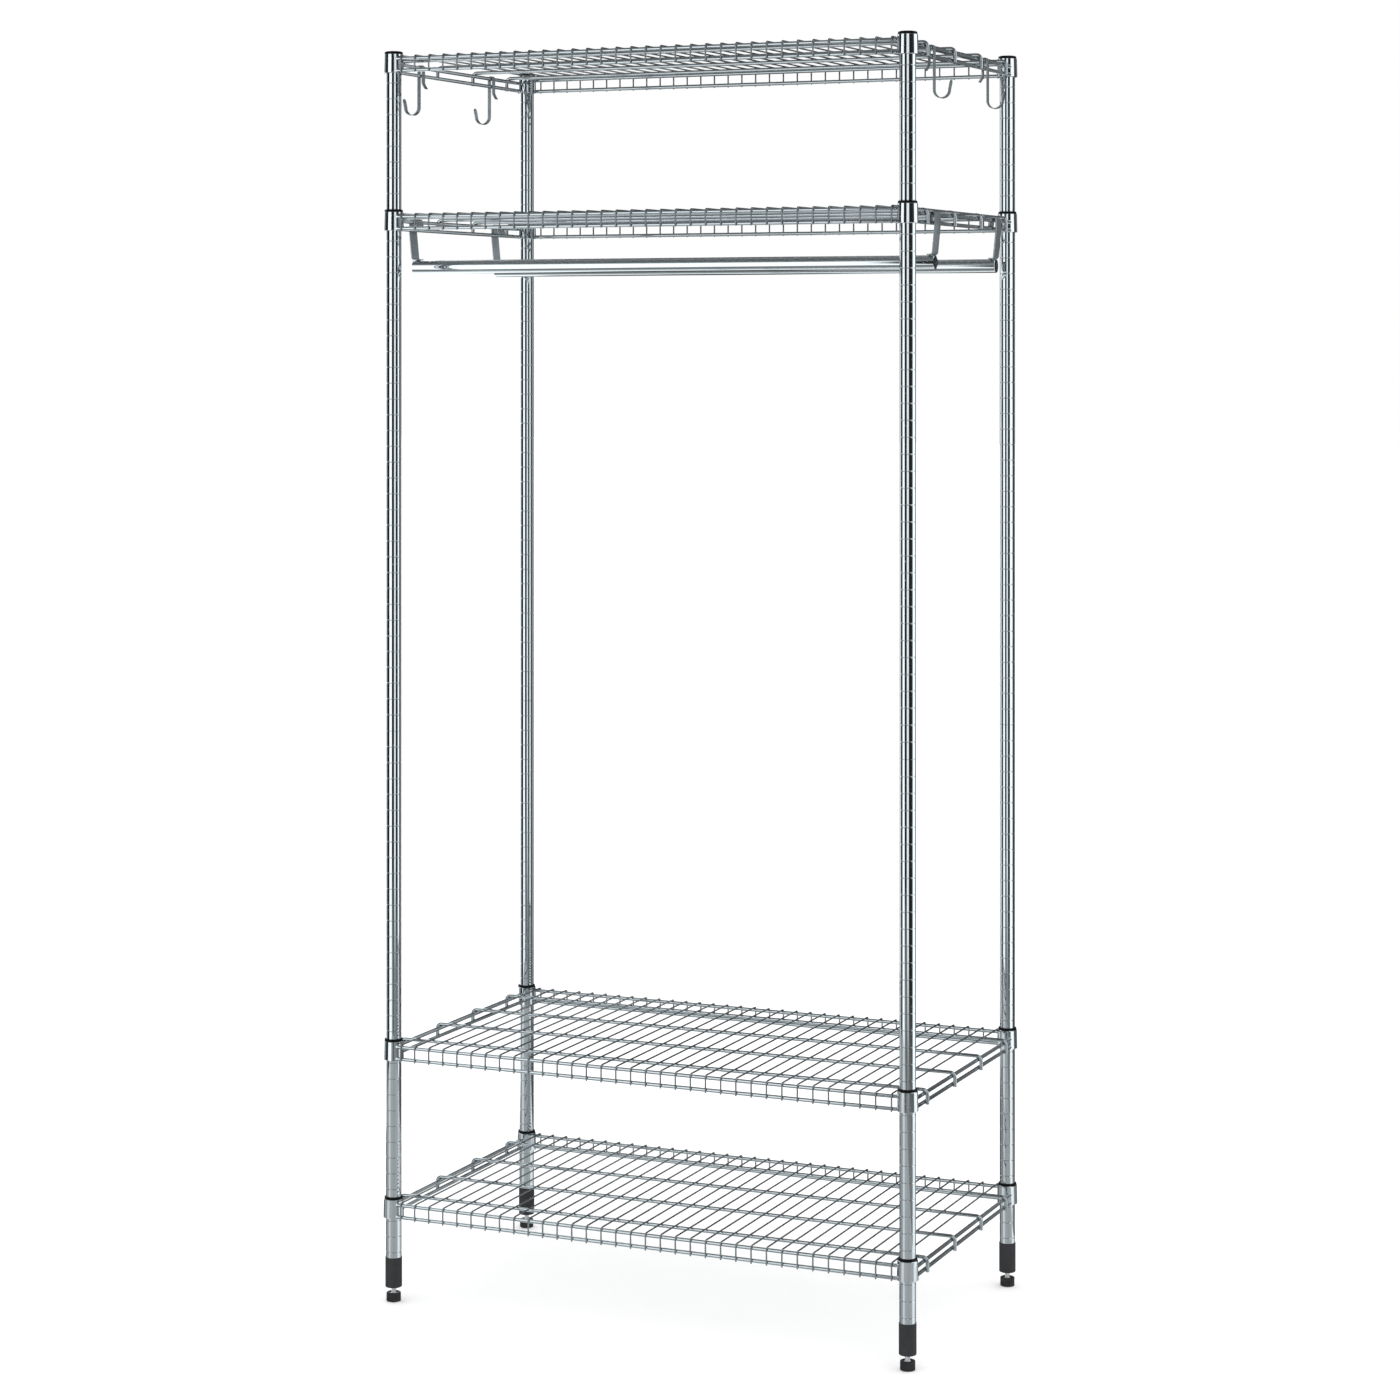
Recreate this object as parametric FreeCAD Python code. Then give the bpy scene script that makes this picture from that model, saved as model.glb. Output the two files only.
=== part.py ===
import FreeCAD, Part
import math
import os

# A free-standing wire shelving unit with two clothes rails, in millimetres.
# Four ring-grooved posts, each in two lengths, carry four wire shelves. Every
# shelf has a tapered collar at each corner, wedged down over a split clip that
# grips the post. The rails and the coat hooks hang on the shelves' side wires.
# Origin: middle of the footprint, on the floor. +X right, +Y back, +Z up.

# Layout of the unit
post_gap_x = 879.4
post_gap_y = 476.6
groove_pitch = 25.4
lower_post_length = 892.7
lower_shelf_groove_counts = (30, 20)
upper_shelf_groove_counts = (32, 42)
shelf_names = ("bottom_shelf", "second_shelf", "third_shelf", "top_shelf")

# Posts, and the stud that joins the two lengths of each
post_r = 12.5
post_wall = 1.2
bore_sides = 12
joint_land = 0.5
joint_stud_length = 64.0
press_gap = 0.05

# Corner collars and their split clips
collar_height = 30.0
collar_wall = 1.1
collar_sides = 12
lower_seat = 21.2
upper_seat = 8.5
clip_top_wall = 1.8
clip_foot_wall = 2.5
clip_slit = 1.2
wedge_gap = 0.15
rim_wall = 2.2
rim_height = 3.8

# Shelf wires: mat wires on top, long wires under them, edge wires at the rim
mat_wire_r = 1.3
mat_pitch = 25.4
mat_count = 34
mat_drop = 3.5
long_wire_r = 3.0
long_count = 4
long_margin = 58.9
edge_wire_r = 3.0
front_wire_overlap = 5.7
side_wire_overlap = 7.5
bottom_wire_rise = 3.1
mat_tip_rise = -0.4
long_tip_rise = 0.6
mat_sides = 4
long_sides = 6
edge_sides = 8

# Top caps
cap_overhang = 0.4
cap_crown = 1.2
cap_edge = 0.9
cap_plug_length = 14.0

# Feet: plastic sleeve, nut insert, levelling bolt and pad
pad_r = 11.6
pad_height = 14.0
pad_recess = 6.4
pad_sides = 16
foot_gap = 9.1
sleeve_wall = 0.65
sleeve_floor = 2.9
sleeve_height = 47.8
insert_height = 24.0
bolt_r = 4.0
bolt_length = 50.0
bolt_head_flats = 13.0
bolt_head_height = 5.3
head_sides = 6
bolt_sides = 12
thread_gap = 0.1
sleeve_hole_gap = 0.4
recess_gap = 0.15

# Clothes rails and the strips that hang them
rail_r = 11.0
rail_wall = 1.0
rail_end_inset = 0.34
rail_from_long_wire = 42.9
rail_drop = 57.0
arm_width = 25.0
arm_thick = 2.0
arm_lean = 4.0
arm_slack = 2.6
arm_bend_r = 4.0
arm_foot = 9.0
arm_tail = 11.5
arm_flare = 2.0
seat_gap = 0.3

# Coat hooks
hook_width = 10.5
hook_thick = 1.5
hook_r = 12.4
hook_drop = 64.5
hook_tip_rise = 15.0
hook_tip_lean = 3.0
hook_tail = 23.5
hook_flare_length = 11.0
hook_flare = 5.5
hook_from_long_wire = {
    "hook_left_front": 58.1,
    "hook_left_back": 69.1,
    "hook_right_front": 36.1,
    "hook_right_back": 88.1,
}
loop_steps = 6
bend_steps = 3
bowl_steps = 8

# Sizes that follow from those above
post_x = post_gap_x / 2
post_y = post_gap_y / 2
bore_r = post_r - post_wall
sleeve_foot_z = pad_height + foot_gap
post_foot_z = sleeve_foot_z + sleeve_floor
joint_z = post_foot_z + lower_post_length
shelf_z = [joint_z - joint_land - n * groove_pitch - lower_seat for n in lower_shelf_groove_counts]
shelf_z += [joint_z + joint_land + n * groove_pitch - upper_seat for n in upper_shelf_groove_counts]
post_top_z = shelf_z[-1] + collar_height + rim_height
clip_bore_r = post_r + press_gap
cap_r = post_r + cap_overhang
collar_top_r = clip_bore_r + clip_top_wall + wedge_gap + collar_wall
collar_foot_r = clip_bore_r + clip_foot_wall + wedge_gap + collar_wall
front_wire_y = post_y + collar_top_r - front_wire_overlap
side_wire_x = post_x + collar_top_r - side_wire_overlap
last_mat_x = mat_pitch * (mat_count - 1) / 2
last_long_y = front_wire_y - long_margin
mat_z = collar_height - mat_drop
front_top_rise = mat_z - mat_wire_r - edge_wire_r
long_z = mat_z - mat_wire_r - long_wire_r
side_top_rise = long_z - long_wire_r - edge_wire_r
mat_leg_y = front_wire_y + edge_wire_r + mat_wire_r
long_leg_x = side_wire_x + edge_wire_r + long_wire_r
corners = {
    "front_left": (-1, -1),
    "front_right": (1, -1),
    "back_left": (-1, 1),
    "back_right": (1, 1),
}


def point(x, y, z):
    return FreeCAD.Vector(x, y, z)


def save(name, solids):
    """Write one node, as one solid or as a group of separate solids."""
    shape = solids[0] if len(solids) == 1 else Part.makeCompound(solids)
    shape.exportStep("parts/" + name + ".step")


def polygon_face(points):
    return Part.Face(Part.makePolygon(points + points[:1]))


def closed_solid(faces):
    solid = Part.makeSolid(Part.makeShell(faces))
    if solid.Volume < 0:
        solid.reverse()
    return solid


def faceted(outline, sides, x, y, hollow=True, start=0.0, sweep=2 * math.pi):
    """An outline of (radius to the flats, height) points, turned in flat steps about a post's axis.

    A hollow outline is a closed loop clear of the axis. The other kind runs up the outside,
    from the bottom face to the top face.
    """
    steps = round(sides * sweep / (2 * math.pi))
    full = steps == sides
    corner = 1 / math.cos(sweep / steps / 2)
    rings = []
    for k in range(steps if full else steps + 1):
        angle = start + sweep * k / steps
        across, along = corner * math.cos(angle), corner * math.sin(angle)
        rings.append([point(x + r * across, y + r * along, z) for r, z in outline])
    faces = []
    pairs = list(zip(rings, rings[1:] + rings[:1])) if full else list(zip(rings, rings[1:]))
    for a, b in pairs:
        for k in range(0 if hollow else 1, len(outline)):
            faces.append(polygon_face([a[k - 1], b[k - 1], b[k], a[k]]))
    if not hollow:
        faces += [polygon_face([ring[end] for ring in rings]) for end in (0, -1)]
    if not full:
        faces += [polygon_face(rings[0]), polygon_face(rings[-1])]
    return closed_solid(faces)


def prism(sides, flat_r, low, high, x, y):
    """An upright bar with flats all round."""
    return faceted([(flat_r, low), (flat_r, high)], sides, x, y, hollow=False)


def wire_along(path, radius, sides):
    """A wire of many flats along a path with mitred corners; radius is to the flats."""
    corner_r = radius / math.cos(math.pi / sides)
    runs = [(b - a).normalize() for a, b in zip(path, path[1:])]
    other = runs[1] if len(runs) > 1 else point(runs[0].y, runs[0].z, runs[0].x)
    side = runs[0].cross(other).normalize()
    turns = [(k + 0.5) * 2 * math.pi / sides for k in range(sides)]
    rings = []
    for i, place in enumerate(path):
        before = runs[max(i - 1, 0)]
        after = runs[min(i, len(runs) - 1)]
        up = (before + after).normalize().cross(side).normalize()
        up = up * (1 / math.cos(before.getAngle(after) / 2))
        rings.append([place + (side * math.cos(a) + up * math.sin(a)) * corner_r for a in turns])
    faces = [polygon_face(rings[0]), polygon_face(rings[-1])]
    for a, b in zip(rings, rings[1:]):
        for k in range(sides):
            faces.append(polygon_face([a[k - 1], a[k], b[k], b[k - 1]]))
    return closed_solid(faces)


def arc_points(centre, radius, start, end, steps):
    """Points on an arc in the strip's own plane, angles in degrees."""
    turn = [math.radians(start + (end - start) * i / steps) for i in range(steps + 1)]
    return [(centre[0] + radius * math.cos(a), centre[1] + radius * math.sin(a)) for a in turn]


def strip(path, thick, width, side, y):
    """A flat strip bent along a path of (out, up) points and mirrored to its side."""
    runs = []
    for (x0, z0), (x1, z1) in zip(path, path[1:]):
        length = math.hypot(x1 - x0, z1 - z0)
        runs.append(((x1 - x0) / length, (z1 - z0) / length))
    left, right = [], []
    for i, (x, z) in enumerate(path):
        before = runs[max(i - 1, 0)]
        after = runs[min(i, len(runs) - 1)]
        nx, nz = -before[1] - after[1], before[0] + after[0]
        size = math.hypot(nx, nz)
        reach = thick / size
        left.append((x + nx * reach / size, z + nz * reach / size))
        right.append((x - nx * reach / size, z - nz * reach / size))
    outline = left + right[::-1]
    face = polygon_face([point(side * x, y - width / 2, z) for x, z in outline])
    return face.extrude(point(0, width, 0))


def wire_loop(thick):
    """The path of a strip over a side wire, from its inner side to its outer side."""
    radius = (edge_wire_r + seat_gap + thick / 2) / math.cos(math.pi / loop_steps / 2)
    return arc_points((side_wire_x, 0), radius, 180, 0, loop_steps)


def loose_loop():
    """An arm's loop, bent wider than the wire on its outer side."""
    loop = wire_loop(arm_thick)
    crest = loop_steps // 2
    return loop[:crest + 1] + [(x + arm_slack, z) for x, z in loop[crest:]]


def post_length(low, high, x, y):
    """A round tube; its bore is hidden, so it has the flats of what presses into it."""
    tube = Part.makeCylinder(post_r, high - low, point(x, y, low))
    return tube.cut(prism(bore_sides, bore_r, low, high, x, y))


def joint_stud(x, y):
    half = joint_stud_length / 2
    radius = bore_r - press_gap
    return prism(bore_sides, radius, joint_z - half, joint_z + half, x, y)


def collar(base, x, y):
    top = base + collar_height
    outline = [
        (collar_foot_r - collar_wall, base),
        (collar_foot_r, base),
        (collar_top_r, top),
        (collar_top_r - collar_wall, top),
    ]
    return faceted(outline, collar_sides, x, y)


def collar_body(base, x, y):
    """The collar with its bore filled, to cope a wire's end to it."""
    outline = [(collar_foot_r, base), (collar_top_r, base + collar_height)]
    return faceted(outline, collar_sides, x, y, hollow=False)


def clip_half(base, x, y, facing):
    """Half of a split clip: a wedge inside the collar and a rim on top of it."""
    top = base + collar_height
    rim_top = top + rim_height
    outline = [
        (clip_bore_r, base),
        (clip_bore_r + clip_foot_wall, base),
        (clip_bore_r + clip_top_wall, top),
        (clip_bore_r + rim_wall, top),
        (clip_bore_r + rim_wall, rim_top),
        (clip_bore_r, rim_top),
    ]
    slit = math.asin(clip_slit / 2 / clip_bore_r)
    return faceted(outline, collar_sides, x, y, start=facing + slit, sweep=math.pi - 2 * slit)


def mat_wires(base):
    """Wires from front to back, bent down over the front and back edge wires."""
    wires = []
    for i in range(mat_count):
        x = last_mat_x * (2 * i / (mat_count - 1) - 1)
        path = [
            point(x, -mat_leg_y, base + mat_tip_rise),
            point(x, -mat_leg_y, base + mat_z),
            point(x, mat_leg_y, base + mat_z),
            point(x, mat_leg_y, base + mat_tip_rise),
        ]
        wires.append(wire_along(path, mat_wire_r, mat_sides))
    return wires


def long_wires(base):
    """Wires from side to side under the mat, bent down outside the side wires."""
    wires = []
    for i in range(long_count):
        y = last_long_y * (2 * i / (long_count - 1) - 1)
        path = [
            point(-long_leg_x, y, base + long_tip_rise),
            point(-long_leg_x, y, base + long_z),
            point(long_leg_x, y, base + long_z),
            point(long_leg_x, y, base + long_tip_rise),
        ]
        wires.append(wire_along(path, long_wire_r, long_sides))
    return wires


def edge_wires(base):
    """Two wires along each side of the shelf, their ends coped to the collars."""
    spans = []
    for side in (-1, 1):
        for rise in (bottom_wire_rise, front_top_rise):
            y, z = side * front_wire_y, base + rise
            spans.append((point(-post_x, y, z), point(post_x, y, z)))
        for rise in (bottom_wire_rise, side_top_rise):
            x, z = side * side_wire_x, base + rise
            spans.append((point(x, -post_y, z), point(x, post_y, z)))
    bodies = [collar_body(base, sx * post_x, sy * post_y) for sx, sy in corners.values()]
    wires = []
    for start, end in spans:
        wire = wire_along([start, end], edge_wire_r, edge_sides)
        pieces = wire.cut(Part.makeCompound(bodies)).Solids
        wires.append(max(pieces, key=lambda piece: piece.Volume))
    return wires


def end_cap(x, y):
    """A low domed cap with a plug that presses into the post."""
    plug_r = bore_r - press_gap
    outline = [
        (plug_r, post_top_z - cap_plug_length),
        (plug_r, post_top_z),
        (cap_r, post_top_z),
        (cap_r - cap_edge, post_top_z + cap_crown),
    ]
    return faceted(outline, bore_sides, x, y, hollow=False)


def foot_sleeve(x, y):
    inner = post_r + press_gap
    outer = inner + sleeve_wall
    hole = bolt_r + sleeve_hole_gap
    outline = [
        (hole, sleeve_foot_z),
        (outer, sleeve_foot_z),
        (outer, sleeve_foot_z + sleeve_height),
        (inner, sleeve_foot_z + sleeve_height),
        (inner, post_foot_z),
        (hole, post_foot_z),
    ]
    return faceted(outline, bore_sides, x, y)


def foot_insert(x, y):
    """The nut pressed into the post's foot, which the levelling bolt runs in."""
    outer, inner = bore_r - press_gap, bolt_r + thread_gap
    top = post_foot_z + insert_height
    outline = [(inner, post_foot_z), (outer, post_foot_z), (outer, top), (inner, top)]
    return faceted(outline, bore_sides, x, y)


def foot_pad(x, y):
    pad = prism(pad_sides, pad_r, 0, pad_height, x, y)
    recess_r = bolt_head_flats / 2 + recess_gap
    recess = prism(head_sides, recess_r, pad_height - pad_recess, pad_height, x, y)
    return pad.cut(recess)


def foot_bolt(x, y):
    base = pad_height - pad_recess
    head = prism(head_sides, bolt_head_flats / 2, base, base + bolt_head_height, x, y)
    shank_r = bolt_r * math.cos(math.pi / bolt_sides)
    shank = prism(bolt_sides, shank_r, base, base + bolt_length, x, y)
    return head.fuse(shank).removeSplitter()


def rail_tube(y, z):
    """A plain open-ended tube from arm to arm."""
    half = arm_foot_x() + arm_thick / 2 - rail_end_inset
    start, end = point(-half, y, z), point(half, y, z)
    outer = Part.makeCylinder(rail_r, 2 * half, start, point(1, 0, 0))
    return outer.cut(wire_along([start, end], rail_r - rail_wall, bore_sides))


def arm_foot_x():
    """Where an arm's middle line turns in towards the rail."""
    return loose_loop()[-1][0] - arm_lean


def rail_arm(side, y, rail_z):
    """A strip hooked over the third shelf's side wire, its foot welded on the rail."""
    wire_z = shelf_z[2] + side_top_rise
    loop = [(x, wire_z + z) for x, z in loose_loop()]
    tail = [(loop[0][0] - arm_flare, wire_z - arm_tail)]
    straight_z = shelf_z[2] + bottom_wire_rise - edge_wire_r
    foot_z = rail_z + rail_r + arm_thick / 2
    low = arm_foot_x()
    bend = arc_points((low - arm_bend_r, foot_z + arm_bend_r), arm_bend_r, 0, -90, bend_steps)
    path = tail + loop + [(loop[-1][0], straight_z)] + bend + [(low - arm_foot, foot_z)]
    return strip(path, arm_thick, arm_width, side, y)


def coat_hook(side, y):
    """A strip over the top shelf's side wire that ends in an open bowl."""
    wire_z = shelf_z[3] + side_top_rise
    loop = [(x, wire_z + z) for x, z in wire_loop(hook_thick)]
    inner = loop[0][0]
    tail = [(inner - hook_flare, wire_z - hook_tail - hook_flare_length), (inner, wire_z - hook_tail)]
    outer = loop[-1][0]
    bowl_z = wire_z - hook_drop
    bowl = arc_points((outer + hook_r, bowl_z), hook_r, 180, 360, bowl_steps)
    tip = (outer + 2 * hook_r + hook_tip_lean, bowl_z + hook_tip_rise)
    return strip(tail + loop + bowl + [tip], hook_thick, hook_width, side, y)


os.makedirs("parts", exist_ok=True)

joint_studs, foot_inserts, foot_sleeves, end_caps = [], [], [], []
for name, (sx, sy) in corners.items():
    x, y = sx * post_x, sy * post_y
    save("post_lower_" + name, [post_length(post_foot_z, joint_z, x, y)])
    save("post_upper_" + name, [post_length(joint_z, post_top_z, x, y)])
    save("foot_pad_" + name, [foot_pad(x, y)])
    save("foot_bolt_" + name, [foot_bolt(x, y)])
    joint_studs.append(joint_stud(x, y))
    foot_inserts.append(foot_insert(x, y))
    foot_sleeves.append(foot_sleeve(x, y))
    end_caps.append(end_cap(x, y))
save("post_joint_studs", joint_studs)
save("foot_inserts", foot_inserts)
save("foot_sleeves", foot_sleeves)
save("end_caps", end_caps)

for name, base in zip(shelf_names, shelf_z):
    places = [(sx * post_x, sy * post_y) for sx, sy in corners.values()]
    save(name + "_mat_wires", mat_wires(base))
    save(name + "_long_wires", long_wires(base))
    save(name + "_edge_wires", edge_wires(base))
    save(name + "_collars", [collar(base, x, y) for x, y in places])
    halves = [clip_half(base, x, y, facing) for x, y in places for facing in (0, math.pi)]
    save(name + "_clips", halves)

rail_z = shelf_z[2] - rail_drop
for name, side in (("front_rail", -1), ("back_rail", 1)):
    y = side * (last_long_y - rail_from_long_wire)
    save(name + "_tube", [rail_tube(y, rail_z)])
    save(name + "_arms", [rail_arm(end, y, rail_z) for end in (-1, 1)])

for name, inset in hook_from_long_wire.items():
    side = -1 if "left" in name else 1
    end = -1 if "front" in name else 1
    save(name, [coat_hook(side, end * (last_long_y - inset))])
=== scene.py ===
import math

import bmesh
import bpy
from mathutils import Matrix, Vector


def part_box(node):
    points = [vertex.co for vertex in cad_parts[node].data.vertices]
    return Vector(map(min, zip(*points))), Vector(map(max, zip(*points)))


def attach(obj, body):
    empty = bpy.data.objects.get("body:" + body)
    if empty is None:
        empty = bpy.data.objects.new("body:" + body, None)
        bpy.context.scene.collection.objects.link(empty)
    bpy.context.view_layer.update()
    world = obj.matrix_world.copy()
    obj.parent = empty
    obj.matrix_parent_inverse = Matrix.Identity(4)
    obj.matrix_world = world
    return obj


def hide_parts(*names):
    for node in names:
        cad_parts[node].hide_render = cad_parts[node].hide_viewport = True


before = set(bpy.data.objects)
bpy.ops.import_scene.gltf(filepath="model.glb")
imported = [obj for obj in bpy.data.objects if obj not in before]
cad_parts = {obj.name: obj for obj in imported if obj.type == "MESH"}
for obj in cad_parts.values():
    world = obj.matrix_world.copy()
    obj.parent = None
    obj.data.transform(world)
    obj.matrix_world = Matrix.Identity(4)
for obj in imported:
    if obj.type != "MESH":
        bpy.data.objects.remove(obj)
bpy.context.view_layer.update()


# Posts
# Four round steel tubes, zinc plated and polished, with a ring rolled in at every inch. Each post
# is two lengths that butt at a joint; the tubes slide over a hidden stud there.
corners = ("front_left", "front_right", "back_left", "back_right")
ring_pitch = 0.0254
ring_width = 0.0017
ring_depth = 0.00035
ring_from_joint = 0.0259
tube_wall = 0.0012
end_round = 0.0005
ring_profile = ((-0.5, 0.0), (-0.22, 1.0), (0.22, 1.0), (0.5, 0.0))
merge_gap = 1e-6
joint_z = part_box("post_lower_front_left")[1][2]
post_low_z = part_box("post_lower_front_left")[0][2]
post_top_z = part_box("post_upper_front_left")[1][2]


def middle(node):
    """The middle of a node's box, seen from above."""
    low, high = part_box(node)
    return (low[0] + high[0]) / 2, (low[1] + high[1]) / 2


post_places = {corner: middle("post_lower_" + corner) for corner in corners}
post_r = (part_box("post_lower_front_left")[1][0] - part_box("post_lower_front_left")[0][0]) / 2


def piece_from(mesh, name, material, body, *nodes, sharp=35):
    """Put a mesh in the scene as one piece: its finish, its body and the nodes it stands for."""
    mesh.shade_smooth()
    mesh.set_sharp_from_angle(angle=math.radians(sharp))
    piece = bpy.data.objects.new(name, mesh)
    bpy.context.collection.objects.link(piece)
    piece.data.materials.append(material)
    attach(piece, body)
    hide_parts(*nodes)
    return piece


def finished(shape, name):
    """Close off a bmesh as a mesh, its faces turned outwards."""
    bmesh.ops.recalc_face_normals(shape, faces=shape.faces)
    mesh = bpy.data.meshes.new(name)
    shape.to_mesh(mesh)
    shape.free()
    return mesh


def turned(name, outlines, centres, steps=48):
    """Turn closed (radius, height) outlines about upright axes, all in one mesh."""
    shape = bmesh.new()
    for outline, (x, y) in zip(outlines, centres):
        rings = []
        for k in range(steps):
            angle = 2 * math.pi * k / steps
            across, along = math.cos(angle), math.sin(angle)
            rings.append([shape.verts.new((x + r * across, y + r * along, z)) for r, z in outline])
        for a, b in zip(rings, rings[1:] + rings[:1]):
            for i in range(len(outline)):
                shape.faces.new((a[i - 1], b[i - 1], b[i], a[i]))
    bmesh.ops.remove_doubles(shape, verts=shape.verts, dist=merge_gap)
    bare = [side for side in shape.edges if not side.link_faces]
    bmesh.ops.delete(shape, geom=bare, context="EDGES")
    return finished(shape, name)


def link(tree, source, target):
    tree.links.new(source, target)


def shader_group(name, inputs, outputs):
    """An empty node group with named inputs (type, value) and outputs."""
    group = bpy.data.node_groups.new(name, "ShaderNodeTree")
    for label, (kind, value) in inputs.items():
        socket = group.interface.new_socket(label, in_out="INPUT", socket_type="NodeSocket" + kind)
        socket.default_value = value
    for label, kind in outputs.items():
        group.interface.new_socket(label, in_out="OUTPUT", socket_type="NodeSocket" + kind)
    return group, group.nodes.new("NodeGroupInput"), group.nodes.new("NodeGroupOutput")


def noise(tree, vector, scale, detail=2.0, roughness=0.5):
    node = tree.nodes.new("ShaderNodeTexNoise")
    node.inputs["Scale"].default_value = scale
    node.inputs["Detail"].default_value = detail
    node.inputs["Roughness"].default_value = roughness
    link(tree, vector, node.inputs["Vector"])
    return node.outputs["Fac"]


def map_range(tree, value, from_low, from_high, to_low, to_high):
    node = tree.nodes.new("ShaderNodeMapRange")
    ends = {"From Min": from_low, "From Max": from_high, "To Min": to_low, "To Max": to_high}
    for label, amount in ends.items():
        if isinstance(amount, float):
            node.inputs[label].default_value = amount
        else:
            link(tree, amount, node.inputs[label])
    link(tree, value, node.inputs["Value"])
    return node.outputs["Result"]


# The plating's own look: fine draw lines along the metal, soft cloudy patches in the zinc and a
# few small dull specks. Stretch holds the draw lines' scale along each axis. The noises' scales are
# in waves a metre; a from and a to bound the part of a noise that counts.
lines_detail = 3.0
cloud_scale, cloud_detail, cloud_roughness = 28.0, 4.0, 0.6
cloud_from, cloud_to = 0.35, 0.75
speck_scale, speck_detail = 420.0, 1.0
speck_from, speck_to, speck_dull = 0.66, 0.74, 0.35
line_strength = 0.5
post_lines = (900.0, 900.0, 9.0)
plating, ins, outs = shader_group(
    "plating",
    {"Stretch": ("Vector", post_lines), "Smooth": ("Float", 0.0), "Dull": ("Float", 0.0)},
    {"Lines": "Float", "Clouds": "Float", "Roughness": "Float"},
)
plating_place = plating.nodes.new("ShaderNodeTexCoord").outputs["Object"]
stretched = plating.nodes.new("ShaderNodeVectorMath")
stretched.operation = "MULTIPLY"
link(plating, plating_place, stretched.inputs[0])
link(plating, ins.outputs["Stretch"], stretched.inputs[1])
lines = noise(plating, stretched.outputs["Vector"], 1.0, lines_detail)
clouds = noise(plating, plating_place, cloud_scale, cloud_detail, cloud_roughness)
specks = noise(plating, plating_place, speck_scale, speck_detail)
specks = map_range(plating, specks, speck_from, speck_to, 0.0, speck_dull)
smooth, dull = ins.outputs["Smooth"], ins.outputs["Dull"]
patchy = map_range(plating, clouds, cloud_from, cloud_to, smooth, dull)
rough = plating.nodes.new("ShaderNodeMath")
rough.operation = "MAXIMUM"
link(plating, patchy, rough.inputs[0])
link(plating, specks, rough.inputs[1])
link(plating, lines, outs.inputs["Lines"])
link(plating, clouds, outs.inputs["Clouds"])
link(plating, rough.outputs["Value"], outs.inputs["Roughness"])

# Painted shade that darkens the rings of a post: a mask worked out from the height along it.
ring_shade, ins, outs = shader_group(
    "ring_shade",
    {
        "First Ring": ("Float", 0.0),
        "Half Pitch": ("Float", ring_pitch / 2),
        "Half Width": ("Float", ring_width / 2),
    },
    {"Mask": "Float"},
)
split = ring_shade.nodes.new("ShaderNodeSeparateXYZ")
ring_place = ring_shade.nodes.new("ShaderNodeTexCoord").outputs["Object"]
link(ring_shade, ring_place, split.inputs["Vector"])
last = split.outputs["Z"]
for operation, other in (("SUBTRACT", "First Ring"), ("PINGPONG", "Half Pitch")):
    node = ring_shade.nodes.new("ShaderNodeMath")
    node.operation = operation
    link(ring_shade, last, node.inputs[0])
    link(ring_shade, ins.outputs[other], node.inputs[1])
    last = node.outputs["Value"]
fade = map_range(ring_shade, last, 0.0, ins.outputs["Half Width"], 1.0, 0.0)
link(ring_shade, fade, outs.inputs["Mask"])


def plated_metal(name, bright, cloudy, smooth, dull, stretch, depth):
    """Bright plated steel: two tones of zinc, draw lines as a bump, patchy roughness."""
    material = bpy.data.materials.new(name)
    material.use_nodes = True
    tree = material.node_tree
    shader = tree.nodes["Principled BSDF"]
    shader.inputs["Metallic"].default_value = 1.0
    finish = tree.nodes.new("ShaderNodeGroup")
    finish.node_tree = plating
    finish.inputs["Stretch"].default_value = stretch
    finish.inputs["Smooth"].default_value = smooth
    finish.inputs["Dull"].default_value = dull
    tone = tree.nodes.new("ShaderNodeMix")
    tone.data_type = "RGBA"
    tone.name = "tone"
    tone.inputs["A"].default_value = (*bright, 1.0)
    tone.inputs["B"].default_value = (*cloudy, 1.0)
    link(tree, finish.outputs["Clouds"], tone.inputs["Factor"])
    link(tree, tone.outputs["Result"], shader.inputs["Base Color"])
    link(tree, finish.outputs["Roughness"], shader.inputs["Roughness"])
    bump = tree.nodes.new("ShaderNodeBump")
    bump.inputs["Strength"].default_value = line_strength
    bump.inputs["Distance"].default_value = depth
    link(tree, finish.outputs["Lines"], bump.inputs["Height"])
    link(tree, bump.outputs["Normal"], shader.inputs["Normal"])
    return material


zinc_bright = (0.72, 0.75, 0.77)
zinc_cloudy = (0.62, 0.65, 0.67)
# Painted shade: the darker grey that the posts' colour takes in each rolled ring.
painted_ring_shade = (0.60, 0.63, 0.65)


def post_metal(name, first_ring):
    """Plated post tube, with painted shade making it darker and duller down in its rings."""
    material = plated_metal(name, zinc_bright, zinc_cloudy, 0.01, 0.05, post_lines, 0.000001)
    tree = material.node_tree
    shade = tree.nodes.new("ShaderNodeGroup")
    shade.node_tree = ring_shade
    shade.inputs["First Ring"].default_value = first_ring
    # Painted shade: the ring mask mixes the zinc colour to a darker grey in each ring.
    shaded_rings = tree.nodes.new("ShaderNodeMix")
    shaded_rings.data_type = "RGBA"
    shaded_rings.inputs["B"].default_value = (*painted_ring_shade, 1.0)
    link(tree, shade.outputs["Mask"], shaded_rings.inputs["Factor"])
    link(tree, tree.nodes["tone"].outputs["Result"], shaded_rings.inputs["A"])
    link(tree, shaded_rings.outputs["Result"], tree.nodes["Principled BSDF"].inputs["Base Color"])
    return material


def post_outline(low, high, first_ring, step):
    """One tube length in section: plain bore, rounded ends and a rolled ring at every inch."""
    bore = post_r - tube_wall
    outline = [(bore, high), (bore, low), (post_r - end_round, low), (post_r, low + end_round)]
    rings = []
    ring = first_ring
    while low + ring_width < ring < high - ring_width:
        rings.append(ring)
        ring += step
    for ring in sorted(rings):
        for share_z, share_r in ring_profile:
            outline.append((post_r - share_r * ring_depth, ring + share_z * ring_width))
    return outline + [(post_r, high - end_round), (post_r - end_round, high)]


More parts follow.
